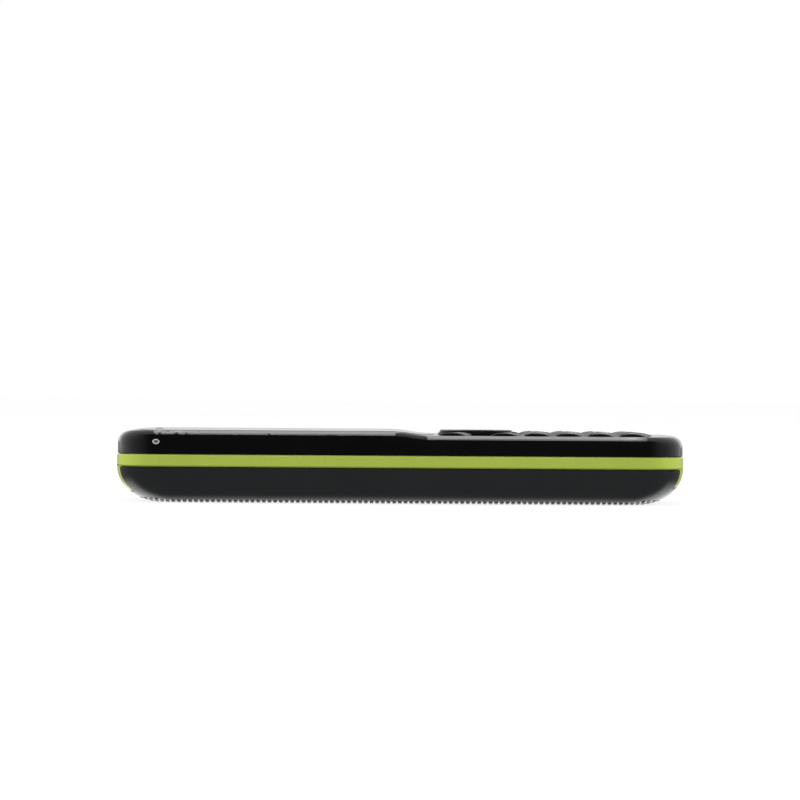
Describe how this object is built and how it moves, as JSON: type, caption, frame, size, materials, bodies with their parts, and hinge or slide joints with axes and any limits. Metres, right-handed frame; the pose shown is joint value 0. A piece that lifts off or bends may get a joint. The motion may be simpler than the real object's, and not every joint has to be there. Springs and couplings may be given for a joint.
{
  "type": "mobile phone",
  "caption": "Bar-shaped mobile phone lying on its back: glossy front, raised display end, crowned keys, green band and end panels, dotted lift-off back cover.",
  "frame": {"origin": "middle of the phone's plan, on the face it rests on", "axes": "+X along the length from the earpiece end to the keypad end, +Y from the phone's left side to its right, +Z out of the display"},
  "size_m": [0.104, 0.045, 0.0132],
  "materials": {
    "gloss_black": "high gloss black",
    "window_clear": "clear, polished",
    "display_dark": "dark, polished cell",
    "foam": "matt black foam",
    "steel": "fine brushed",
    "bright_metal": "bright plated",
    "lime_green": "satin lime green",
    "slate_cover": "satin dark slate, dotted back",
    "battery_film": "printed film",
    "gold_contact": "gold plated",
    "black_plastic": "matt black",
    "card_white": "smooth white",
    "board_green": "solder mask",
    "rubber_grey": "matt grey",
    "film_clear": "pale film",
    "key_black": "glossy black keys",
    "white_plastic": "matt white"
  },
  "bodies": {
    "phone_body": {"front_housing": "gloss_black", "display_window": "window_clear", "display_tray": "steel", "display_glass": "display_dark", "display_gasket": "foam", "earpiece_grille": "steel", "earpiece_receiver": "black_plastic", "strap_eyelet": "bright_metal", "mid_frame": "lime_green", "battery_contacts": "black_plastic", "sim_holder": "steel", "main_board": "board_green", "shield_can_radio": "steel", "shield_can_power": "steel", "key_mat": "rubber_grey", "dome_sheet": "film_clear", "microphone": "steel", "microphone_boot": "rubber_grey", "audio_jack": "black_plastic", "charging_socket": "steel", "loudspeaker": "black_plastic", "speaker_gasket": "foam", "vibration_motor": "steel", "antenna_carrier": "white_plastic", "antenna_strip": "gold_contact", "housing_screws": "steel"},
    "key_1_press": {"key_1": "key_black"},
    "key_2_press": {"key_2": "key_black"},
    "key_3_press": {"key_3": "key_black"},
    "key_4_press": {"key_4": "key_black"},
    "key_5_press": {"key_5": "key_black"},
    "key_6_press": {"key_6": "key_black"},
    "key_7_press": {"key_7": "key_black"},
    "key_8_press": {"key_8": "key_black"},
    "key_9_press": {"key_9": "key_black"},
    "key_star_press": {"key_star": "key_black"},
    "key_0_press": {"key_0": "key_black"},
    "key_hash_press": {"key_hash": "key_black"},
    "soft_key_left_press": {"soft_key_left": "key_black"},
    "soft_key_right_press": {"soft_key_right": "key_black"},
    "call_key_press": {"call_key": "key_black"},
    "end_key_press": {"end_key": "key_black"},
    "nav_rocker": {"nav_base": "black_plastic"},
    "nav_pad": {"nav_ring": "key_black"},
    "select_button": {"select_key": "key_black"},
    "cover": {"back_cover": "slate_cover"},
    "battery": {"battery_pack": "battery_film", "battery_terminals": "gold_contact"},
    "card": {"sim_card": "card_white"},
    "motor_weight": {"vibration_weight": "steel"}
  },
  "joints": [
    {"name": "key_1_travel", "type": "slide", "parent": "phone_body", "child": "key_1_press", "axis": [0, 0, -1], "range_m": [0, 0.00035], "stiffness_N_per_m": 1500},
    {"name": "key_2_travel", "type": "slide", "parent": "phone_body", "child": "key_2_press", "axis": [0, 0, -1], "range_m": [0, 0.00035], "stiffness_N_per_m": 1500},
    {"name": "key_3_travel", "type": "slide", "parent": "phone_body", "child": "key_3_press", "axis": [0, 0, -1], "range_m": [0, 0.00035], "stiffness_N_per_m": 1500},
    {"name": "key_4_travel", "type": "slide", "parent": "phone_body", "child": "key_4_press", "axis": [0, 0, -1], "range_m": [0, 0.00035], "stiffness_N_per_m": 1500},
    {"name": "key_5_travel", "type": "slide", "parent": "phone_body", "child": "key_5_press", "axis": [0, 0, -1], "range_m": [0, 0.00035], "stiffness_N_per_m": 1500},
    {"name": "key_6_travel", "type": "slide", "parent": "phone_body", "child": "key_6_press", "axis": [0, 0, -1], "range_m": [0, 0.00035], "stiffness_N_per_m": 1500},
    {"name": "key_7_travel", "type": "slide", "parent": "phone_body", "child": "key_7_press", "axis": [0, 0, -1], "range_m": [0, 0.00035], "stiffness_N_per_m": 1500},
    {"name": "key_8_travel", "type": "slide", "parent": "phone_body", "child": "key_8_press", "axis": [0, 0, -1], "range_m": [0, 0.00035], "stiffness_N_per_m": 1500},
    {"name": "key_9_travel", "type": "slide", "parent": "phone_body", "child": "key_9_press", "axis": [0, 0, -1], "range_m": [0, 0.00035], "stiffness_N_per_m": 1500},
    {"name": "key_star_travel", "type": "slide", "parent": "phone_body", "child": "key_star_press", "axis": [0, 0, -1], "range_m": [0, 0.00035], "stiffness_N_per_m": 1500},
    {"name": "key_0_travel", "type": "slide", "parent": "phone_body", "child": "key_0_press", "axis": [0, 0, -1], "range_m": [0, 0.00035], "stiffness_N_per_m": 1500},
    {"name": "key_hash_travel", "type": "slide", "parent": "phone_body", "child": "key_hash_press", "axis": [0, 0, -1], "range_m": [0, 0.00035], "stiffness_N_per_m": 1500},
    {"name": "soft_key_left_travel", "type": "slide", "parent": "phone_body", "child": "soft_key_left_press", "axis": [0, 0, -1], "range_m": [0, 0.00035], "stiffness_N_per_m": 1500},
    {"name": "soft_key_right_travel", "type": "slide", "parent": "phone_body", "child": "soft_key_right_press", "axis": [0, 0, -1], "range_m": [0, 0.00035], "stiffness_N_per_m": 1500},
    {"name": "call_key_travel", "type": "slide", "parent": "phone_body", "child": "call_key_press", "axis": [0, 0, -1], "range_m": [0, 0.00035], "stiffness_N_per_m": 1500},
    {"name": "end_key_travel", "type": "slide", "parent": "phone_body", "child": "end_key_press", "axis": [0, 0, -1], "range_m": [0, 0.00035], "stiffness_N_per_m": 1500},
    {"name": "nav_tilt_side", "type": "hinge", "parent": "phone_body", "child": "nav_rocker", "pos_m": [0.0139, 0, 0.01015], "axis": [1, 0, 0], "range_deg": [-1.5, 1.5], "stiffness_Nm_per_rad": 0.3},
    {"name": "nav_tilt_length", "type": "hinge", "parent": "nav_rocker", "child": "nav_pad", "pos_m": [0.0139, 0, 0.01045], "axis": [0, 1, 0], "range_deg": [-1.5, 1.5], "stiffness_Nm_per_rad": 0.3},
    {"name": "select_travel", "type": "slide", "parent": "phone_body", "child": "select_button", "axis": [0, 0, -1], "range_m": [0, 0.00035], "stiffness_N_per_m": 1500},
    {"name": "cover_lift", "type": "slide", "parent": "phone_body", "child": "cover", "axis": [0, 0, -1], "range_m": [0, 0.012]},
    {"name": "battery_lift", "type": "slide", "parent": "phone_body", "child": "battery", "axis": [0, 0, -1], "range_m": [0, 0.006]},
    {"name": "card_slide", "type": "slide", "parent": "phone_body", "child": "card", "axis": [-1, 0, 0], "range_m": [0, 0.022]},
    {"name": "motor_spin", "type": "hinge", "parent": "phone_body", "child": "motor_weight", "pos_m": [0.0255, -0.0153, 0.0038], "axis": [0, 1, 0], "continuous": true}
  ],
  "couplings": [
    {"joint": "battery_lift", "follows": "cover_lift", "ratio": 0.5}
  ]
}
